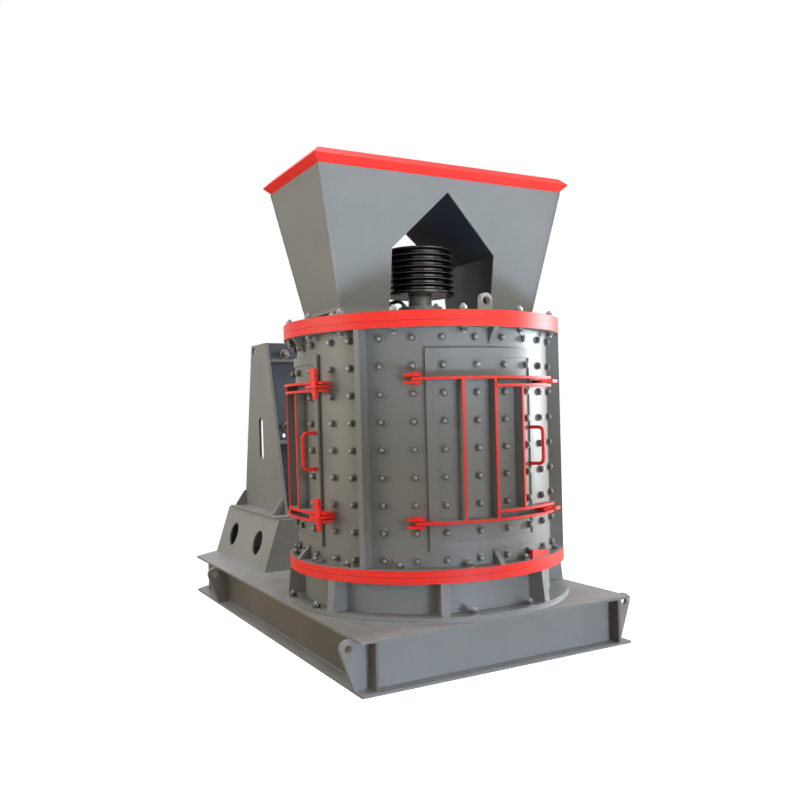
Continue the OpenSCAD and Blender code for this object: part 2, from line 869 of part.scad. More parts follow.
// Lower bearing hub carried by three arms inside the pedestal
module lower_bearing() {
    arm_w = 50;
    arm_h = spider_z1 - spider_z0 - 20;
    color(paint) at_barrel() difference() {
        union() {
            translate([0, 0, spider_z0]) cylinder(r = shaft_r + housing_wall, h = spider_z1 - spider_z0);
            for (a = [60, 180, 300])
                radial_plate(a, arm_w)
                    translate([0, spider_z0]) square([ped_inner_r - 1.5, arm_h]);
        }
        translate([0, 0, shaft_z0]) cylinder(r = shaft_r + bearing_gap, h = spider_z1);
    }
}

// House-shaped section of the belt tunnel, grown by g
module tunnel_outline(g = 0) {
    grow = g / cos(atan2(tunnel_z1 - tunnel_z0, tunnel_w));
    slope = (tunnel_z1 - tunnel_z0) / tunnel_w;
    polygon([
        [-tunnel_w - g, hopper_z0 - over], [tunnel_w + g, hopper_z0 - over],
        [tunnel_w + g, tunnel_z0 + grow - g * slope], [0, tunnel_z1 + grow],
        [-tunnel_w - g, tunnel_z0 + grow - g * slope]
    ]);
}

// Front view of the hopper, drawn in by i on its two sloping ends
module hopper_front_outline(i = 0) {
    polygon([
        [-hopper_y0 + i, hopper_z0], [hopper_y0 - i, hopper_z0],
        [hopper_y1 - i, hopper_z], [-hopper_y1 + i, hopper_z]
    ]);
}

// Side view of the hopper, drawn in by i on its two sloping walls
module hopper_side_outline(i = 0) {
    polygon([
        [-hopper_x0 + i, hopper_z0], [hopper_x0 - i, hopper_z0],
        [hopper_x1 - i, hopper_z], [-hopper_x1 + i, hopper_z]
    ]);
}

// One long hopper wall with the mouth of the belt tunnel cut through it
module hopper_long_wall(side) {
    color(paint) at_barrel() mirror([side > 0 ? 0 : 1, 0, 0]) intersection() {
        along_x(0, hopper_x1 + over) difference() {
            hopper_front_outline();
            tunnel_outline();
        }
        along_y(-hopper_y1 - over, hopper_y1 + over) difference() {
            hopper_side_outline();
            hopper_side_outline(hopper_t);
        }
    }
}

module hopper_front_wall() {
    hopper_long_wall(1);
}

module hopper_rear_wall() {
    hopper_long_wall(-1);
}

module hopper_end_walls() {
    color(paint) at_barrel() intersection() {
        along_x(-hopper_x1, hopper_x1) difference() {
            hopper_front_outline();
            hopper_front_outline(hopper_t);
        }
        along_y(-hopper_y1 - over, hopper_y1 + over) hopper_side_outline(hopper_t);
    }
}

// Roof and side plates of the belt tunnel, between the two long walls
module hopper_tunnel() {
    color(paint) at_barrel() intersection() {
        along_x(-hopper_x1, hopper_x1) difference() {
            tunnel_outline(hopper_t);
            tunnel_outline();
            translate([-hopper_y0, hopper_z0 - 2 * over]) square([2 * hopper_y0, 2 * over]);
        }
        along_y(-hopper_y1, hopper_y1) hopper_side_outline(hopper_t);
    }
}

// Section of the rim angle, with its heel pointing outwards
module rim_section() {
    t = rim_t * sqrt(2);
    polygon([
        [0, 0], [rim_leg, rim_leg], [0, 2 * rim_leg], [0, 2 * rim_leg - t],
        [rim_leg - t, rim_leg], [0, t]
    ]);
}

// Angle rim welded round the top of the hopper, mitred at its corners
module hopper_rim() {
    x = hopper_x1 - 3;
    y = hopper_y1 - 3;
    far = 2 * (x + y);
    color(red) at_barrel() {
        for (side = [0, 180]) rotate([0, 0, side]) intersection() {
            along_y(-y - rim_leg, y + rim_leg) translate([x, hopper_z]) rim_section();
            linear_extrude(hopper_z + 3 * rim_leg)
                polygon([[x - y, 0], [x + far, y + far], [x + far, -y - far]]);
        }
        for (side = [0, 180]) rotate([0, 0, side]) intersection() {
            along_x(-x - rim_leg, x + rim_leg) translate([y, hopper_z]) rim_section();
            linear_extrude(hopper_z + 3 * rim_leg)
                polygon([[0, y - x], [x + far, y + far], [-x - far, y + far]]);
        }
    }
}

// Upright collars under the two hopper legs, cut away at their ends to leave feet
module hopper_feet() {
    x = hopper_x0;
    y0 = tunnel_w;
    y1 = hopper_y0;
    color(paint) at_barrel() for (side = [0, 1]) mirror([0, side, 0]) difference() {
        translate([-x, y0, top_z]) cube([2 * x, y1 - y0, hopper_lift]);
        translate([-x + hopper_t, y0 + hopper_t, top_z - over])
            cube([2 * (x - hopper_t), y1 - y0 - 2 * hopper_t, hopper_lift + 2 * over]);
        translate([-x + 46, y1 - hopper_t - over, top_z - over])
            cube([2 * (x - 46), hopper_t + 2 * over, hopper_lift - 14]);
    }
}

// Trapezium section of the stand box, drawn in by i
module stand_outline(i = 0) {
    lean = (stand_y0 - stand_y1) / stand_h;
    polygon([
        [-stand_y0 + i, deck_z], [stand_y0 - i, deck_z],
        [stand_y1 - i + i * lean, stand_z - i], [-stand_y1 + i - i * lean, stand_z - i]
    ]);
}

module stand_box() {
    lean_a = atan2(stand_batter, stand_h);
    middle = (stand_x0 + stand_x1) / 2;
    hand_h = 140;
    hand_y = stand_y0 - hand_h * tan(lean_a);
    color(paint) difference() {
        along_x(stand_x0, stand_x1) stand_outline();
        along_x(stand_x0 + stand_t, stand_x1 - stand_t) difference() {
            stand_outline(stand_t);
            translate([-stand_y0, deck_z - over]) square([2 * stand_y0, over]);
        }
        for (side = [0, 1], x = [-hand_pitch / 2, hand_pitch / 2])
            mirror([0, side, 0]) translate([middle + x, hand_y, deck_z + hand_h])
                rotate([90 + lean_a, 0, 0]) cylinder(r = hand_r, h = 4 * stand_t, center = true);
    }
}

module column_foot() {
    lips = [30, 85];
    color(paint) translate([col_x0 - lips[0], -stand_y1 - 8, stand_z])
        cube([col_x1 - col_x0 + lips[0] + lips[1], 2 * (stand_y1 + 8), col_foot_t]);
}

// Tapered side plates with their slots, and the gussets at their feet
module column_sides() {
    gusset = [72, 100];
    slot_at = [col_x0 + 381, col_z0 + 457];
    eye_at = [col_top_x0 + 45, col_z - 40];
    color(paint) for (side = [0, 1]) mirror([0, side, 0]) {
        along_y(-col_y, -col_y + col_t) difference() {
            polygon([
                [col_x0, col_z0], [col_x1, col_z0], [col_top_x1, col_z], [col_top_x0, col_z]
            ]);
            translate(slot_at) slot_outline(slot_w, slot_l);
            translate(eye_at) circle(r = eye_hole_r);
        }
        for (x = [col_x0 + 20, col_x1 - 20 - col_t])
            along_x(x, x + col_t)
                polygon([
                    [-col_y, col_z0], [-col_y - gusset[0], col_z0], [-col_y - gusset[0], col_z0 + 12],
                    [-col_y - 12, col_z0 + gusset[1]], [-col_y, col_z0 + gusset[1]]
                ]);
    }
}

// Upright motor plate at the front of the column, with the motor's bolt holes
module motor_plate() {
    inner = col_y - col_t;
    small_at = [motor_y + 15, motor_z0 - 56];
    color(paint) along_x(motor_x0, motor_x1) difference() {
        translate([-inner, col_z0]) square([2 * inner, col_h]);
        for (y = [-motor_y, motor_y], z = [motor_z0, motor_z1])
            translate([y, z]) circle(r = motor_hole_r);
        for (side = [-1, 1])
            translate([side * small_at[0], small_at[1]]) circle(r = small_hole_r);
    }
}

// Shelves from the motor plate to the sloping front edges of the side plates
module column_shelves() {
    inner = col_y - col_t;
    color(paint) for (z = [motor_z1 - shelf_drop[0], motor_z0 - shelf_drop[1]]) {
        edge = col_x1 + (col_top_x1 - col_x1) * (z + col_t - col_z0) / col_h;
        translate([motor_x1, -inner, z]) cube([edge - motor_x1, 2 * inner, col_t]);
    }
}

module rotor_shaft() {
    color(steel) at_barrel() rotate_extrude() polygon([
        [0, shaft_z0 + seat_gap], [shaft_r, shaft_z0 + seat_gap], [shaft_r, spider_z1 + 30],
        [shaft_mid_r, spider_z1 + 60], [shaft_mid_r, cover_z + 20], [shaft_r, cover_z + 30],
        [shaft_r, sheave_z - 1], [shaft_top_r, sheave_z - 1],
        [shaft_top_r, sheave_z + sheave_height - 20], [0, sheave_z + sheave_height - 20]
    ]);
}

// Rotor discs and the spreader plate above them
module rotor_discs() {
    collar_w = 50;
    collar_h = 60;
    spread_z = disc_z + discs * disc_pitch;
    color(steel) at_barrel() {
        for (k = [0:discs - 1]) {
            z = disc_z + k * disc_pitch;
            ring(shaft_mid_r, disc_r, z, z + disc_t);
            ring(shaft_mid_r, shaft_mid_r + collar_w, z + disc_t, z + disc_t + collar_h);
        }
        rotate_extrude() polygon([
            [shaft_mid_r, spread_z], [disc_r - 20, spread_z], [disc_r - 20, spread_z + 25],
            [shaft_mid_r + 60, spread_z + 50], [shaft_mid_r, spread_z + 90]
        ]);
    }
}

// Hammers that clasp the rims of the discs
module rotor_hammers() {
    clasp = 40;
    drop = 45;
    height = 130;
    color(steel) at_barrel() for (k = [0:discs - 1], n = [0:hammers - 1]) {
        z = disc_z + k * disc_pitch;
        rotate([0, 0, (n + k / discs) * 360 / hammers]) difference() {
            intersection() {
                translate([disc_r - clasp, -60, z - drop])
                    cube([hammer_r - disc_r + clasp, 120, height]);
                cylinder(r = hammer_r, h = top_z);
            }
            translate([0, 0, z]) cylinder(r = disc_r, h = disc_t);
        }
    }
}

sheave_height = sheave_rim + grooves * groove_pitch + 8;

// Outline of one belt groove from its lower land up, as radius and height
function groove_points(k) =
    let (
        z = sheave_z + sheave_rim + k * groove_pitch,
        land = groove_land,
        floor_h = 8,
        root = sheave_r - groove_d,
        side = (groove_pitch - land - floor_h) / 2
    )
    [
        [sheave_r, z], [sheave_r, z + land], [root, z + land + side],
        [root, z + land + side + floor_h]
    ];

module sheave() {
    top = sheave_z + sheave_height;
    bore = shaft_top_r;
    color(black) at_barrel() rotate_extrude() polygon(concat(
        [[bore, sheave_z], [sheave_r - 3, sheave_z], [sheave_r, sheave_z + 3]],
        [for (k = [0:grooves - 1]) each groove_points(k)],
        [
            [sheave_r, top - 8], [sheave_r, top - 2], [sheave_r - 2, top], [sheave_r - 30, top],
            [sheave_r - 34, top - 26], [bore + 32, top - 26], [bore + 30, top - 8], [bore, top - 8]
        ]
    ));
}

deck_plate();
bottom_flanges();
side_webs();
end_webs();
cross_beams();
base_lifting_lugs();
pedestal_base_ring();
pedestal_shell();
pedestal_ribs();
pedestal_top_ring();
barrel_bottom_flange();
wall_under_doors();
wall_over_doors();
wall_front_left();
wall_front_right();
wall_rear_left();
wall_rear_right();
barrel_top_flange();
wall_ribs();
hinge_forks();
clamp_tongues();
wall_liners();
wedge_pins();
loose_wedge();
left_door();
left_door_bands();
right_door();
right_door_bands();
top_cover();
cover_lugs();
upper_bearing();
lower_bearing();
hopper_front_wall();
hopper_rear_wall();
hopper_end_walls();
hopper_rim();
hopper_tunnel();
hopper_feet();
stand_box();
column_foot();
column_sides();
motor_plate();
column_shelves();
front_door();
front_door_bands();
front_door_handle();
rotor_shaft();
rotor_discs();
rotor_hammers();
sheave();
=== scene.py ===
import bpy
import math
import random
from mathutils import Matrix, Vector


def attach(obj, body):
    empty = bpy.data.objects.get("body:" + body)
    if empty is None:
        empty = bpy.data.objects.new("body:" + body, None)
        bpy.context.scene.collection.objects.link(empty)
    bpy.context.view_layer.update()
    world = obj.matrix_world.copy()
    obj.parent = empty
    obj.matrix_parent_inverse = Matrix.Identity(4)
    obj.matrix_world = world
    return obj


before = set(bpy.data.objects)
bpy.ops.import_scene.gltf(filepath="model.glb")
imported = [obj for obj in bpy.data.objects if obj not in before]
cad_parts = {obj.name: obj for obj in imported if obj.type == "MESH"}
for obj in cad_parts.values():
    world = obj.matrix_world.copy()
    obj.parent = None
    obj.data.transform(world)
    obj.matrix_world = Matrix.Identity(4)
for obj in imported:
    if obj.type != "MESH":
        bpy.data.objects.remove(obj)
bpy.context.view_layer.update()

# Camera and studio.
# The machine is seen from its front left corner at chest height, on a pale seamless floor.
# A strong light grazes the barrel from its right, and weaker ones fill front, left and below.
barrel_x = 0.635
photo_size = 800
focal_px = 847.5
optic_px = (423.85, 423.5)
eye = Vector((barrel_x + 3.822, -2.147, 1.1605))
yaw, pitch, roll = 2.6292, -0.0157, -0.0276

ahead = Vector((math.cos(yaw) * math.cos(pitch), math.sin(yaw) * math.cos(pitch), math.sin(pitch)))
level = ahead.cross(Vector((0, 0, 1))).normalized()
upright = level.cross(ahead)
across = math.cos(roll) * level + math.sin(roll) * upright
above = math.cos(roll) * upright - math.sin(roll) * level
camera = bpy.data.objects.new("camera", bpy.data.cameras.new("camera"))
bpy.context.collection.objects.link(camera)
camera.matrix_world = Matrix((across, above, -ahead)).transposed().to_4x4()
camera.location = eye
camera.data.sensor_width = 36
camera.data.lens = camera.data.sensor_width * focal_px / photo_size
camera.data.shift_x = 0.5 - optic_px[0] / photo_size
camera.data.shift_y = optic_px[1] / photo_size - 0.5
camera.data.clip_end = 200
bpy.context.scene.camera = camera
bpy.context.scene.view_settings.view_transform = "Standard"


def add_light(name, place, target, size, power, colour, spread=180):
    light = bpy.data.lights.new(name, "AREA")
    light.shape = "RECTANGLE"
    light.size, light.size_y = size
    light.energy = power
    light.color = colour
    light.spread = math.radians(spread)
    lamp = bpy.data.objects.new(name, light)
    bpy.context.collection.objects.link(lamp)
    lamp.location = place
    lamp.rotation_mode = "QUATERNION"
    lamp.rotation_quaternion = (Vector(place) - Vector(target)).to_track_quat("Z", "Y")


neutral, warm, bluish = (0.98, 0.97, 0.90), (1.0, 0.95, 0.80), (0.56, 0.73, 1.0)
hopper_front = (barrel_x + 0.25, 0, 2.3)
base_front = (1.3, 0, 0.10)
add_light("side_light", (1.6, 6.5, 1.7), (barrel_x, 0, 0.9), (2.0, 2.4), 530, (0.90, 0.95, 1.0))
add_light("front_light", (7.5, 1.2, 2.2), (0.6, 0, 1.1), (4.5, 2.5), 125, neutral)
add_light("low_light", (3.4, 0.1, 0.3), hopper_front, (2.4, 0.6), 12, bluish, 46)
add_light("floor_light", (5.2, 0.5, 0.25), base_front, (3.4, 0.3), 6.5, (0.58, 0.71, 1.0), 22)
add_light("left_light", (-1.2, -7.0, 2.2), (-0.3, 0, 1.0), (5.0, 2.6), 215, warm)
add_light("top_light", (0.4, -1.0, 6.5), (0.4, 0, 0.5), (4.0, 4.0), 240, (0.97, 0.95, 1.0))


def node_tree(owner):
    owner.use_nodes = True
    owner.node_tree.nodes.clear()
    return owner.node_tree.nodes, owner.node_tree.links


def new_node(nodes, kind, **values):
    made = nodes.new("ShaderNode" + kind)
    for key, value in values.items():
        if key in made.inputs:
            made.inputs[key].default_value = value
        else:
            setattr(made, key, value)
    return made


white = (1, 1, 1, 1)
world = bpy.data.worlds.new("studio")
bpy.context.scene.world = world
nodes, links = node_tree(world)
rays = new_node(nodes, "LightPath")
mirrored = new_node(nodes, "Math", operation="MAXIMUM")
links.new(rays.outputs["Is Glossy Ray"], mirrored.inputs[0])
links.new(rays.outputs["Is Transmission Ray"], mirrored.inputs[1])
seen = new_node(nodes, "Math", operation="MAXIMUM")
links.new(rays.outputs["Is Camera Ray"], seen.inputs[0])
links.new(mirrored.outputs[0], seen.inputs[1])
room = new_node(nodes, "Background", Color=(0.60, 0.61, 0.61, 1), Strength=0.34)
backdrop = new_node(nodes, "Background", Color=white)
choose = new_node(nodes, "MixShader")
links.new(seen.outputs[0], choose.inputs["Fac"])
links.new(room.outputs[0], choose.inputs[1])
links.new(backdrop.outputs[0], choose.inputs[2])
links.new(choose.outputs[0], new_node(nodes, "OutputWorld").inputs["Surface"])

bpy.ops.mesh.primitive_plane_add(size=60, location=(0, 0, -0.0005))
floor = bpy.context.object
floor.name = "floor"
pale_floor = bpy.data.materials.new("pale_floor")
nodes, links = node_tree(pale_floor)
matt = new_node(nodes, "BsdfDiffuse", Color=(0.30, 0.30, 0.30, 1))
glow = new_node(nodes, "Emission", Color=white, Strength=0.97)
both = new_node(nodes, "AddShader")
links.new(matt.outputs[0], both.inputs[0])
links.new(glow.outputs[0], both.inputs[1])
earth = new_node(nodes, "BsdfDiffuse", Color=(0.42, 0.345, 0.28, 1))
plain = new_node(nodes, "MixShader")
rays = new_node(nodes, "LightPath")
links.new(rays.outputs["Is Camera Ray"], plain.inputs["Fac"])
links.new(earth.outputs[0], plain.inputs[1])
links.new(both.outputs[0], plain.inputs[2])
links.new(plain.outputs[0], new_node(nodes, "OutputMaterial").inputs["Surface"])
floor.data.materials.append(pale_floor)

# Base frame.
# Thin plates welded to upright webs make a hollow frame, sprayed with grey machine enamel.
# The enamel is even and satin, with dust on its upper faces and lighter, rubbed edges.
grey = (0.225, 0.224, 0.205, 1)
grey_dark = (0.190, 0.190, 0.174, 1)
grey_dust = (0.42, 0.41, 0.42, 1)


def mixed(nodes, links, factor, first, second):
    mix = new_node(nodes, "Mix", data_type="RGBA")
    links.new(factor, mix.inputs["Factor"])
    for socket, value in ((mix.inputs["A"], first), (mix.inputs["B"], second)):
        if isinstance(value, tuple):
            socket.default_value = value
        else:
            links.new(value, socket)
    return mix.outputs["Result"]


def ramp(nodes, links, source, low, high):
    span = new_node(nodes, "MapRange", **{"From Min": low, "From Max": high})
    links.new(source, span.inputs["Value"])
    return span.outputs["Result"]


def noise(nodes, links, where, scale, detail=4.0, roughness=0.55):
    cloud = new_node(nodes, "TexNoise", Scale=scale, Detail=detail, Roughness=roughness)
    links.new(where, cloud.inputs["Vector"])
    return cloud.outputs["Fac"]


def multiplied(nodes, links, first, second):
    product = new_node(nodes, "Math", operation="MULTIPLY")
    for socket, value in zip(product.inputs, (first, second)):
        if isinstance(value, float):
            socket.default_value = value
        else:
            links.new(value, socket)
    return product.outputs[0]


def edge_mask(nodes, links, radius):
    # Where the rounded normal departs from the flat one, an edge lies within the radius
    rounded = new_node(nodes, "Bevel", samples=4, Radius=radius)
    flat = new_node(nodes, "NewGeometry")
    likeness = new_node(nodes, "VectorMath", operation="DOT_PRODUCT")
    links.new(rounded.outputs["Normal"], likeness.inputs[0])
    links.new(flat.outputs["Normal"], likeness.inputs[1])
    return ramp(nodes, links, likeness.outputs["Value"], 0.995, 0.90)


def enamel_colour(nodes, links, where, base, dark, dust, dust_amount, edge_wear_and_highlight):
    # Soft clouds, faint upright runs, specks, dust on upper faces and rubbed edges; where the edges
    # are turned up strongly, as on nuts and studs, they are partly painted highlights
    clouds = ramp(nodes, links, noise(nodes, links, where, 1.6, 4.0), 0.35, 0.7)
    colour = mixed(nodes, links, clouds, base, dark)
    stretched = new_node(nodes, "Mapping", Scale=(9.0, 9.0, 0.8))
    links.new(where, stretched.inputs["Vector"])
    runs = ramp(nodes, links, noise(nodes, links, stretched.outputs[0], 1.0, 4.0), 0.45, 0.8)
    colour = mixed(nodes, links, multiplied(nodes, links, runs, 0.3), colour, dark)
    specks = ramp(nodes, links, noise(nodes, links, where, 120.0, 2.0), 0.66, 0.74)
    colour = mixed(nodes, links, multiplied(nodes, links, specks, 0.12), colour, dust)
    split = new_node(nodes, "SeparateXYZ")
    links.new(new_node(nodes, "NewGeometry").outputs["Normal"], split.inputs[0])
    upward = ramp(nodes, links, split.outputs["Z"], 0.4, 0.95)
    film = ramp(nodes, links, noise(nodes, links, where, 5.0, 6.0), 0.2, 0.7)
    settled = multiplied(nodes, links, multiplied(nodes, links, upward, film), dust_amount)
    colour = mixed(nodes, links, settled, colour, dust)
    scuffs = ramp(nodes, links, noise(nodes, links, where, 22.0, 6.0), 0.35, 0.62)
    rubbed_and_highlit_edges = multiplied(nodes, links, edge_mask(nodes, links, 0.003), scuffs)
    return mixed(nodes, links, multiplied(nodes, links, rubbed_and_highlit_edges, edge_wear_and_highlight), colour, dust)


def enamel_relief(nodes, links, where):
    # Fine orange peel and long shallow waves over edges with a small round
    rounding = new_node(nodes, "Bevel", samples=4, Radius=0.0015)
    peel = new_node(nodes, "Bump", Strength=0.25, Distance=0.0005)
    links.new(noise(nodes, links, where, 300.0, 2.0), peel.inputs["Height"])
    links.new(rounding.outputs["Normal"], peel.inputs["Normal"])
    waves = new_node(nodes, "Bump", Strength=0.2, Distance=0.003)
    links.new(noise(nodes, links, where, 4.0, 2.0), waves.inputs["Height"])
    links.new(peel.outputs["Normal"], waves.inputs["Normal"])
    return waves.outputs["Normal"]


def enamel(name, base, dark, dust, roughness, dust_amount=0.6, edge_wear_and_highlight=0.55, specular=0.5):
    material = bpy.data.materials.new(name)
    nodes, links = node_tree(material)
    where = new_node(nodes, "TexCoord").outputs["Object"]
    surface = new_node(nodes, "BsdfPrincipled")
    surface.inputs["Specular IOR Level"].default_value = specular
    colour = enamel_colour(nodes, links, where, base, dark, dust, dust_amount, edge_wear_and_highlight)
    links.new(colour, surface.inputs["Base Color"])
    sheen = new_node(nodes, "MapRange", **{"To Min": roughness - 0.05, "To Max": roughness + 0.08})
    links.new(noise(nodes, links, where, 7.0, 3.0), sheen.inputs["Value"])
    links.new(sheen.outputs["Result"], surface.inputs["Roughness"])
    links.new(enamel_relief(nodes, links, where), surface.inputs["Normal"])
    links.new(surface.outputs[0], new_node(nodes, "OutputMaterial").inputs["Surface"])
    return material


def paint_node(name, material):
    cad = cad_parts[name]
    cad.data.materials.clear()
    cad.data.materials.append(material)


grey_enamel = enamel("grey_enamel", grey, grey_dark, grey_dust, 0.44)
for name in ("deck_plate", "bottom_flanges", "end_webs", "cross_beams", "base_lifting_lugs"):
    paint_node(name, grey_enamel)
# The long side webs are painted a darker brown grey, which is painted shade under the deck's
# overhang.
web_painted_shade = enamel(
    "brown_painted_shade", (0.135, 0.120, 0.100, 1), (0.105, 0.092, 0.076, 1),
    (0.30, 0.28, 0.25, 1), 0.40,
)
paint_node("side_webs", web_painted_shade)


def deselect():
    bpy.ops.object.select_all(action="DESELECT")


def join_named(parts, name, body, material, smooth=None):
    deselect()
    for part in parts:
        part.select_set(True)
    bpy.context.view_layer.objects.active = parts[0]
    if len(parts) > 1:
        bpy.ops.object.join()
    joined = bpy.context.object
    bpy.ops.object.transform_apply(location=True, rotation=True, scale=True)
    if smooth is not None:
        bpy.ops.object.shade_smooth_by_angle(angle=math.radians(smooth))
    joined.name = name
    joined.data.name = name
    joined.data.materials.clear()
    joined.data.materials.append(material)
    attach(joined, body)
    return joined


def round_curve(name, radius, roundness):
    curve = bpy.data.curves.new(name, "CURVE")
    curve.dimensions = "3D"
    curve.bevel_depth = radius
    curve.bevel_resolution = roundness
    return curve


def curve_mesh(curve):
    cord = bpy.data.objects.new(curve.name, curve)
    bpy.context.collection.objects.link(cord)
    deselect()
    cord.select_set(True)
    bpy.context.view_layer.objects.active = cord
    bpy.ops.object.convert(target="MESH")
    return bpy.context.object


def bead(points, radius, seed):
    # A weld bead: a thin rippled cord of metal along the corner between two plates
    ripple = random.Random(seed)
    ripple_length = 0.012
    curve = round_curve("bead", radius, 1)
    curve.resolution_u = 1
    path = []
    for start, end in zip(points, points[1:]):
        start, end = Vector(start), Vector(end)
        count = max(1, int((end - start).length / ripple_length))
        path += [start.lerp(end, i / count) for i in range(count)]
    path.append(Vector(points[-1]))
    line = curve.splines.new("POLY")
    line.points.add(len(path) - 1)
    for point, spot in zip(line.points, path):
        point.co = (*spot, 1)
        point.radius = ripple.uniform(0.75, 1.15)
    return curve_mesh(curve)


thin_weld, thick_weld = 0.003, 0.004
foot_top, deck_under, deck_top = 0.012, 0.219, 0.231
web_y, web_rear, web_front, deck_front = 0.656, -1.07, 1.290, 1.355
deck_gap, web_gap, post_gap = 0.004, 0.014, 0.013
lug_faces, lug_y = (1.285, -0.707), 0.722
beads = []
for side in (-1, 1):
    for z in (foot_top, deck_under):
        side_path = [(web_rear, side * web_y, z), (deck_front - deck_gap, side * web_y, z)]
        beads.append(bead(side_path, thin_weld, 11))
for z in (foot_top, deck_under):
    front_path = [(web_front, -web_y + web_gap, z), (web_front, web_y - web_gap, z)]
    beads.append(bead(front_path, thin_weld, 12))
for side in (-1, 1):
    post_y = side * (web_y - post_gap)
    post_path = [(web_front, post_y, foot_top), (web_front, post_y, deck_under)]
    beads.append(bead(post_path, thin_weld, 13))
    for x in lug_faces:
        lug_path = [
            (x, side * web_y, deck_under), (x, side * web_y, foot_top), (x, side * lug_y, foot_top)
        ]
        beads.append(bead(lug_path, thick_weld, 14))
join_named(beads, "base_weld_beads", "frame", grey_enamel, 60)

# Nuts and bolts.
# Darkened hexagon nuts on painted round washers, with the bright end of the stud showing.
# Each size is modelled once and copied, and the copies of one group are joined.
# Nuts and studs have their edges lightened at 0.9, which is rubbed wear and painted edge highlights
# together.
dark_steel = enamel(
    "darkened_steel", (0.080, 0.076, 0.068, 1), (0.052, 0.050, 0.046, 1),
    (0.42, 0.40, 0.35, 1), 0.36, dust_amount=0.35, edge_wear_and_highlight=0.9, specular=0.6,
)
bright_steel = enamel(
    "bright_steel", (0.36, 0.345, 0.31, 1), (0.24, 0.23, 0.21, 1), (0.5, 0.5, 0.47, 1), 0.32,
    dust_amount=0.2, edge_wear_and_highlight=0.9, specular=1.0,
)
washer_enamel = enamel(
    "washer_enamel", (0.30, 0.295, 0.270, 1), (0.25, 0.245, 0.225, 1), grey_dust, 0.44
)


def chamfer(part, width, least_angle=30):
    bevel = part.modifiers.new("chamfer", "BEVEL")
    bevel.width = width
    bevel.segments = 1
    bevel.limit_method = "ANGLE"
    bevel.angle_limit = math.radians(least_angle)
    bpy.ops.object.modifier_apply(modifier="chamfer")


def finished_model(parts):
    deselect()
    for part in parts:
        part.select_set(True)
    bpy.context.view_layer.objects.active = parts[0]
    if len(parts) > 1:
        bpy.ops.object.join()
    bpy.ops.object.transform_apply(location=True, rotation=True, scale=True)
    bpy.ops.object.shade_smooth_by_angle(angle=math.radians(35))
    return parts[0]


def nut_model(flats, height, washer_t, stud_r, stud_h):
    # Made along +Z from the face it sits on, with chamfered corners and a tapered stud end
    deselect()
    bpy.ops.mesh.primitive_cylinder_add(
        vertices=6, radius=flats / math.sqrt(3), depth=height,
        location=(0, 0, washer_t + height / 2),
    )
    nut = bpy.context.object
    chamfer(nut, flats * 0.07, 70)
    top = washer_t + height
    sunk = 0.004
    bpy.ops.mesh.primitive_cone_add(
        vertices=10, radius1=stud_r, radius2=stud_r * 0.7, depth=stud_h * 0.3,
        location=(0, 0, top + stud_h * 0.85),
    )
    tip = bpy.context.object
    bpy.ops.mesh.primitive_cylinder_add(
        vertices=10, radius=stud_r, depth=stud_h * 0.7 + sunk,
        location=(0, 0, top + stud_h * 0.35 - sunk / 2),
    )
    stud = bpy.context.object
    return finished_model([nut]), finished_model([stud, tip])


def washer_model(radius, thick):
    deselect()
    bpy.ops.mesh.primitive_cylinder_add(
        vertices=20, radius=radius, depth=thick, location=(0, 0, thick / 2)
    )
    washer = bpy.context.object
    chamfer(washer, thick * 0.35)
    return finished_model([washer])


fastener_models = []


def fastener(flats, height, stud_r, stud_h, washer_r, washer_t):
    nut, stud = nut_model(flats, height, washer_t, stud_r, stud_h)
    made = (nut, stud, washer_model(washer_r, washer_t))
    fastener_models.extend(made)
    return made


def around(radius, angle, z):
    a = math.radians(angle)
    return (barrel_x + radius * math.cos(a), radius * math.sin(a), z)


def outward_place(radius, angle, z, turn=0.0):
    # On a cylinder about the barrel axis, with the model's +Z pointing outwards
    facing = Matrix.Rotation(math.radians(angle), 4, "Z") @ Matrix.Rotation(math.pi / 2, 4, "Y")
    return Matrix.Translation(around(radius, angle, z)) @ facing @ Matrix.Rotation(turn, 4, "Z")


def upward_place(radius, angle, z, turn=0.0, flip=False):
    tip = Matrix.Rotation(math.pi if flip else 0.0, 4, "X")
    return Matrix.Translation(around(radius, angle, z)) @ tip @ Matrix.Rotation(turn, 4, "Z")


def set_copies(model, places, name, body, material):
    copies = []
    for place in places:
        copy = bpy.data.objects.new(name, model.data.copy())
        copy.data.transform(place)
        bpy.context.collection.objects.link(copy)
        copies.append(copy)
    return join_named(copies, name, body, material)


def set_nuts(bolt, places, name, body, material=dark_steel, washer_material=washer_enamel):
    nut, stud, washer = bolt
    set_copies(nut, places, name + "_nuts", body, material)
    set_copies(stud, places, name + "_studs", body, bright_steel)
    set_copies(washer, places, name + "_washers", body, washer_material)


chance = random.Random(7)


def turned():
    return chance.uniform(0, math.pi / 3)


# Pedestal.
# A rolled shell between two flanges, stiffened by eight thick ribs and bolted to the deck
# at eight points.
for name in ("pedestal_base_ring", "pedestal_shell", "pedestal_ribs", "lower_bearing"):
    paint_node(name, grey_enamel)
ped_r, ped_low, ped_high = 0.624, 0.254, 0.400
base_ring_r, base_bolt_r, base_bolt_offset = 0.718, 0.697, 12.5
pedestal_bolt = fastener(
    flats=0.034, height=0.020, stud_r=0.010, stud_h=0.009, washer_r=0.023, washer_t=0.004
)
places = [
    upward_place(base_bolt_r, quarter + offset, ped_low, turned())
    for quarter in (0, 90, 180, 270)
    for offset in (-base_bolt_offset, base_bolt_offset)
]
set_nuts(pedestal_bolt, places, "pedestal", "frame")


def ring_points(radius, z, step=3.0):
    count = int(360.0 / step)
    return [around(radius, 360.0 * i / count, z) for i in range(count + 1)]


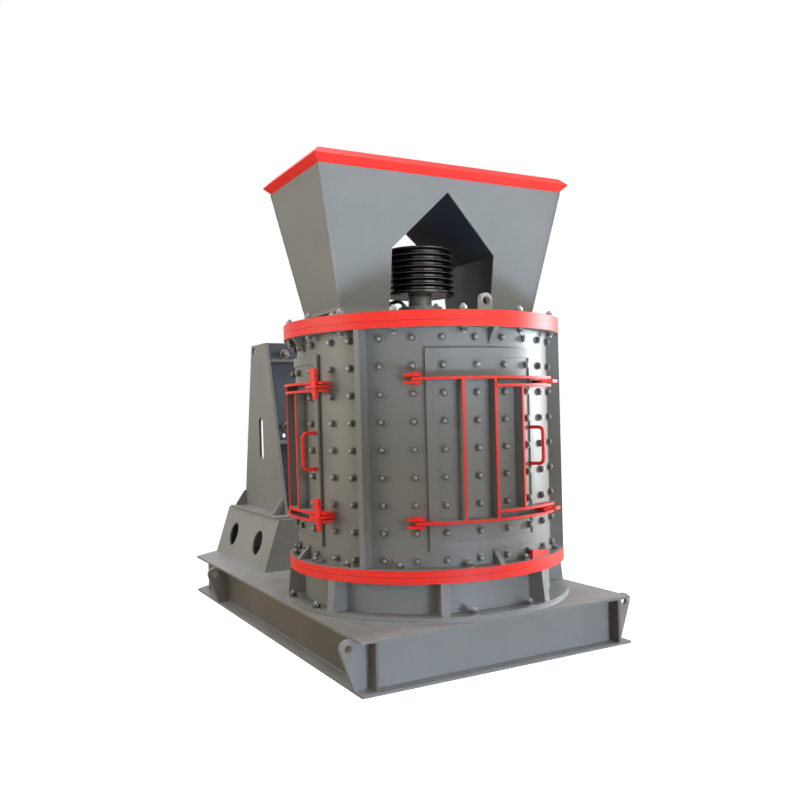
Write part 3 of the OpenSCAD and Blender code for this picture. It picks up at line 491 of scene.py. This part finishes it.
rib_count, first_rib, ped_rib_half_t = 8, 21.9, 0.020
rib_half = math.degrees(ped_rib_half_t / ped_r)
bead_lift = 0.001
beads = [
    bead(ring_points(ped_r, ped_low + bead_lift), thick_weld, 21),
    bead(ring_points(base_ring_r, deck_top + bead_lift), thick_weld, 22),
]
for k in range(rib_count):
    for side in (-1, 1):
        a = first_rib + 45 * k + side * rib_half
        rib_path = [around(ped_r, a, ped_low), around(ped_r, a, ped_high)]
        beads.append(bead(rib_path, thick_weld, 23 + k))
join_named(beads, "pedestal_weld_beads", "frame", grey_enamel, 60)

# Flanges of the barrel.
# Machined rings whose rims are sprayed bright red, with grey top and bottom faces.
# The red runs a little over the edge, as a spray gun leaves it.
red = (0.95, 0.036, 0.022, 1)
red_dark = (0.86, 0.028, 0.018, 1)
red_dust = (0.90, 0.20, 0.15, 1)
red_seam = (0.30, 0.02, 0.015, 1)
red_enamel = enamel(
    "red_enamel", red, red_dark, red_dust, 0.42, dust_amount=0.12, edge_wear_and_highlight=0.25, specular=0.3
)


def opened(material):
    nodes, links = material.node_tree.nodes, material.node_tree.links
    surface = next(n for n in nodes if n.type == "BSDF_PRINCIPLED")
    painted = surface.inputs["Base Color"].links[0].from_socket
    where = next(n for n in nodes if n.type == "TEX_COORD").outputs["Object"]
    return nodes, links, surface, painted, where


def plan_distance(nodes, links, flat, spot):
    away = new_node(nodes, "VectorMath", operation="DISTANCE")
    links.new(flat, away.inputs[0])
    away.inputs[1].default_value = spot
    return away.outputs["Value"]


def plan_and_height(nodes, links, where):
    split = new_node(nodes, "SeparateXYZ")
    links.new(where, split.inputs[0])
    flat = new_node(nodes, "CombineXYZ")
    links.new(split.outputs["X"], flat.inputs["X"])
    links.new(split.outputs["Y"], flat.inputs["Y"])
    return flat.outputs[0], split.outputs["Z"]


def between(nodes, links, height, low, high, fade=0.001):
    above_low = ramp(nodes, links, height, low, low + fade)
    below_high = ramp(nodes, links, height, high + fade, high)
    return multiplied(nodes, links, above_low, below_high)


def rimmed_enamel(name, rim_radius, seams=(), red_spots=()):
    material = grey_enamel.copy()
    material.name = name
    nodes, links, surface, painted, where = opened(material)
    surface.inputs["Specular IOR Level"].default_value = 0.3
    flat, height = plan_and_height(nodes, links, where)
    ragged = new_node(nodes, "Math", operation="MULTIPLY_ADD")
    links.new(noise(nodes, links, where, 30.0, 3.0), ragged.inputs[0])
    ragged.inputs[1].default_value = 0.003
    links.new(plan_distance(nodes, links, flat, (barrel_x, 0, 0)), ragged.inputs[2])
    edge = ramp(nodes, links, ragged.outputs[0], rim_radius, rim_radius + 0.0015)
    colour = mixed(nodes, links, edge, painted, red)
    for spot, width, low, high in red_spots:
        away = plan_distance(nodes, links, flat, spot)
        near = ramp(nodes, links, away, width + 0.004, width)
        inside = between(nodes, links, height, low, high)
        colour = mixed(nodes, links, multiplied(nodes, links, near, inside), colour, red)
    for seam_z in seams:
        at_seam = new_node(nodes, "Math", operation="COMPARE")
        links.new(height, at_seam.inputs[0])
        at_seam.inputs[1].default_value = seam_z
        at_seam.inputs[2].default_value = 0.0016
        thin_line = multiplied(nodes, links, at_seam.outputs[0], 0.55)
        colour = mixed(nodes, links, thin_line, colour, red_seam)
    links.new(colour, surface.inputs["Base Color"])
    return material


rim_r, low_seam, high_seam = 0.6995, 0.430, 1.555
red_rim = rimmed_enamel("red_rim_on_grey", rim_r, (low_seam, high_seam))
for name in ("pedestal_top_ring", "barrel_bottom_flange", "barrel_top_flange", "top_cover"):
    paint_node(name, red_rim)

wall_low, wall_high, cover_top = 0.460, 1.525, 1.598
flange_bolt_r = 0.673
flange_bolt_a = (13, 39.5, 62, 80.5, 104, 119, 137, 166)
flange_bolt = fastener(
    flats=0.029, height=0.016, stud_r=0.009, stud_h=0.009, washer_r=0.019, washer_t=0.004
)
places = []
for a in flange_bolt_a:
    for side in (-1, 1):
        places.append(upward_place(flange_bolt_r, side * a, wall_low, turned()))
        places.append(upward_place(flange_bolt_r, side * a, wall_high, turned(), flip=True))
set_nuts(flange_bolt, places, "flange", "frame")
places = [
    upward_place(flange_bolt_r, side * a, cover_top, turned())
    for a in flange_bolt_a
    for side in (-1, 1)
]
set_nuts(flange_bolt, places, "cover", "frame", bright_steel)

# Barrel wall.
# Rolled plate with welded ribs; nine rows of liner bolts come through it all round.
# The bolts that land on the front door swing with it.
for name in (
    "wall_under_doors", "wall_over_doors", "wall_front_left", "wall_front_right",
    "wall_rear_left", "wall_rear_right", "wall_ribs", "left_door", "right_door", "front_door",
):
    paint_node(name, grey_enamel)

wall_r, door_face_r = 0.636, 0.647
row_pitch, first_row, row_count = 0.1235, 0.493, 9
door_low, door_high = 0.534, 1.433
door_step = 101.0
door_columns = (-20.9, -7.3, 5.3, 18.2)
beside_door = (-32.8, 31.0)
wall_columns = (
    *beside_door, 45.0, 60.0, 133.0, 146.5, 160.5, 173.5,
    -46.0, -60.0, -133.8, -147.0, -160.5, -173.5,
)
side_columns = {beside_door[1] - door_step, beside_door[0] + door_step}
row_heights = [first_row + row * row_pitch for row in range(row_count)]
wall_places = [
    outward_place(wall_r, a, z, turned())
    for a in set(wall_columns) | side_columns
    for z in row_heights
]
front_door_places = []
for centre in (0.0, -door_step, door_step):
    for column in door_columns:
        for z in row_heights:
            if door_low < z < door_high:
                home = front_door_places if centre == 0 else wall_places
                home.append(outward_place(door_face_r, centre + column, z, turned()))
            else:
                wall_places.append(outward_place(wall_r, centre + column, z, turned()))
liner_bolt = fastener(
    flats=0.029, height=0.014, stud_r=0.009, stud_h=0.007, washer_r=0.020, washer_t=0.003
)
set_nuts(liner_bolt, wall_places, "wall_liner", "frame")
set_nuts(liner_bolt, front_door_places, "door_liner", "front_door")

rib_angles, wall_rib_half_t, rib_weld = (53.6, 153.6, -53.6, -153.6), 0.0125, 0.0035
beads = [
    bead(ring_points(wall_r, z), thin_weld, 31)
    for z in (wall_low + bead_lift, wall_high - bead_lift)
]
for a in rib_angles:
    for side in (-1, 1):
        edge_a = a + side * math.degrees(wall_rib_half_t / wall_r)
        rib_path = [around(wall_r, edge_a, wall_low), around(wall_r, edge_a, wall_high)]
        beads.append(bead(rib_path, rib_weld, 32))
join_named(beads, "wall_weld_beads", "frame", grey_enamel, 60)

# Door frames, forks, tongues, wedges and handles.
# Flame-cut strip and round bar welded up; the frames are red only on their outer edges,
# and the small pieces that are handled are red all over.
band_edge_r = 0.6975


def door_spots(door_angle):
    # The hinge and clamp ends of the bands and the door's handle are sprayed red all over
    clamp = around(0.685, door_angle + 29.0, 0.0)
    hinge = around(0.690, door_angle - 31.0, 0.0)
    handle = around(0.690, door_angle + 20.5, 0.0)
    return ((clamp, 0.085, 0.5, 1.5), (hinge, 0.065, 0.5, 1.5), (handle, 0.05, 0.85, 1.12))


for name, door_angle in (
    ("left_door_bands", -door_step), ("right_door_bands", door_step), ("front_door_bands", 0.0)
):
    red_edges = rimmed_enamel("red_edges_on_grey", band_edge_r, red_spots=door_spots(door_angle))
    paint_node(name, red_edges)
for name in (
    "hinge_forks", "clamp_tongues", "wedge_pins", "loose_wedge", "front_door_handle", "hopper_rim",
):
    paint_node(name, red_enamel)

# Hopper.
# Folded grey plate with a tunnel through it for the drive belts, its inside painted near black
# as painted shade, standing on two bolted feet over the cover, beside two pale lifting lugs.
for name in ("hopper_front_wall", "hopper_rear_wall", "hopper_end_walls", "hopper_feet"):
    paint_node(name, grey_enamel)
pale_enamel = enamel(
    "pale_enamel", (0.46, 0.42, 0.36, 1), (0.36, 0.33, 0.28, 1), (0.55, 0.52, 0.46, 1), 0.45
)
paint_node("cover_lugs", pale_enamel)
# The tunnel's inside is painted near black: painted shade inside the tunnel.
tunnel_painted_shade = enamel(
    "near_black_painted_shade", (0.030, 0.033, 0.040, 1), (0.022, 0.024, 0.030, 1), (0.10, 0.10, 0.10, 1), 0.45,
    dust_amount=0.1, edge_wear_and_highlight=0.1, specular=0.3,
)
paint_node("hopper_tunnel", tunnel_painted_shade)

hopper_low, hopper_high = 1.650, 2.276
low_x, low_y, high_x, high_y = 0.214, 0.549, 0.316, 0.676
beads = []
for front in (-1, 1):
    for side in (-1, 1):
        foot = (barrel_x + front * low_x, side * low_y, hopper_low)
        head = (barrel_x + front * high_x, side * high_y, hopper_high)
        beads.append(bead([foot, head], thin_weld, 41))
join_named(beads, "hopper_weld_beads", "frame", grey_enamel, 60)
foot_bolt_x, foot_bolt_y = 0.19, 0.575
places = [
    Matrix.Translation((barrel_x + x, y, cover_top))
    for x in (-foot_bolt_x, foot_bolt_x)
    for y in (-foot_bolt_y, foot_bolt_y)
]
set_nuts(flange_bolt, places, "hopper_foot", "frame", bright_steel)

# Motor stand.
# Tapered column on a trapezium box, welded of thick plate, with the motor's four bolts
# through the plate at its front, which is painted a dark bluish grey as painted shade.
for name in ("stand_box", "column_foot", "column_sides", "column_shelves"):
    paint_node(name, grey_enamel)
# The motor plate's dark bluish grey is painted shade in the recess between the column's sides.
motor_plate_painted_shade = enamel(
    "blue_grey_painted_shade", (0.100, 0.118, 0.145, 1), (0.080, 0.095, 0.118, 1),
    (0.28, 0.29, 0.31, 1), 0.42,
)
paint_node("motor_plate", motor_plate_painted_shade)
motor_face, motor_y, motor_bolt_z = -0.751, 0.236, (1.078, 1.546)
motor_bolt = fastener(
    flats=0.036, height=0.018, stud_r=0.012, stud_h=0.010, washer_r=0.030, washer_t=0.006
)
places = [
    Matrix.Translation((motor_face, y, z)) @ Matrix.Rotation(math.pi / 2, 4, "Y")
    for y in (-motor_y, motor_y)
    for z in motor_bolt_z
]
set_nuts(motor_bolt, places, "motor_plate", "frame", dark_steel, bright_steel)

# Sheave, bearing and rotor.
# The sheave is sprayed gloss black with tan painted highlight lines on its lands, the bearing
# housing is turned steel and the rotor's discs and hammers are cast.
black_enamel = enamel(
    "black_enamel", (0.010, 0.010, 0.011, 1), (0.007, 0.007, 0.008, 1), (0.05, 0.05, 0.05, 1), 0.20,
    dust_amount=0.15, edge_wear_and_highlight=0.0, specular=0.7,
)
land_r, highlight_full_r, lands_low, lands_high = 0.1760, 0.1768, 1.756, 1.969
nodes, links, surface, painted, where = opened(black_enamel)
flat, height = plan_and_height(nodes, links, where)
reach = plan_distance(nodes, links, flat, (barrel_x, 0, 0))
# The lands of the grooves are painted tan as painted highlight lines along each ridge.
painted_land_highlight = ramp(nodes, links, reach, land_r, highlight_full_r)
painted_land_highlight = multiplied(nodes, links, painted_land_highlight, between(nodes, links, height, lands_low, lands_high))
links.new(mixed(nodes, links, painted_land_highlight, painted, (0.20, 0.165, 0.14, 1)), surface.inputs["Base Color"])
paint_node("sheave", black_enamel)
turned_steel = enamel(
    "turned_steel", (0.42, 0.42, 0.40, 1), (0.30, 0.30, 0.29, 1), (0.5, 0.5, 0.48, 1), 0.35
)
for name in ("upper_bearing", "rotor_shaft"):
    paint_node(name, turned_steel)
cast_steel = enamel(
    "cast_steel", (0.14, 0.13, 0.12, 1), (0.09, 0.08, 0.075, 1), (0.25, 0.22, 0.2, 1), 0.6
)
for name in ("rotor_discs", "rotor_hammers", "wall_liners"):
    paint_node(name, cast_steel)

# Grease line and bolts of the upper bearing.
# Two black rubber hoses run from brass fittings on the housing down to the cover, and six
# small bolts hold the housing's lid.
brass = enamel(
    "brass", (0.62, 0.42, 0.18, 1), (0.48, 0.30, 0.12, 1), (0.70, 0.55, 0.35, 1), 0.28,
    dust_amount=0.1, edge_wear_and_highlight=0.3, specular=1.0,
)
housing_top, fitting_ring_r = 1.687, 0.088
hose_r, hose_angles = 0.006, (-106.0, -132.0)
for number, a in enumerate(hose_angles):
    hose_path = [
        around(fitting_ring_r, a, housing_top + 0.020), around(0.108, a + 4, housing_top + 0.034),
        around(0.158, a - 4, housing_top + 0.026), around(0.215, a + 4, housing_top - 0.020),
        around(0.262, a + 8, cover_top + hose_r),
    ]
    curve = round_curve("hose", hose_r, 3)
    line = curve.splines.new("BEZIER")
    line.bezier_points.add(len(hose_path) - 1)
    for point, spot in zip(line.bezier_points, hose_path):
        point.co = spot
        point.handle_left_type = "AUTO"
        point.handle_right_type = "AUTO"
    hose = curve_mesh(curve)
    join_named([hose], f"grease_hose_{number + 1}", "frame", black_enamel, 60)

fitting_r, fitting_h, fitting_lift = 0.011, 0.022, 0.0105
fittings = []
for a in hose_angles:
    deselect()
    bpy.ops.mesh.primitive_cylinder_add(vertices=6, radius=fitting_r, depth=fitting_h)
    fitting = bpy.context.object
    chamfer(fitting, 0.0015)
    fitting.data.transform(upward_place(fitting_ring_r, a, housing_top + fitting_lift))
    fittings.append(fitting)
join_named(fittings, "grease_fittings", "frame", brass, 35)

housing_bolt_r, first_housing_bolt = 0.092, 31
housing_bolt = fastener(
    flats=0.019, height=0.010, stud_r=0.006, stud_h=0.005, washer_r=0.013, washer_t=0.002
)
places = [
    upward_place(housing_bolt_r, first_housing_bolt + 60 * k, housing_top, turned())
    for k in range(6)
]
set_nuts(housing_bolt, places, "bearing_housing", "frame", bright_steel)

for model in fastener_models:
    bpy.data.objects.remove(model)
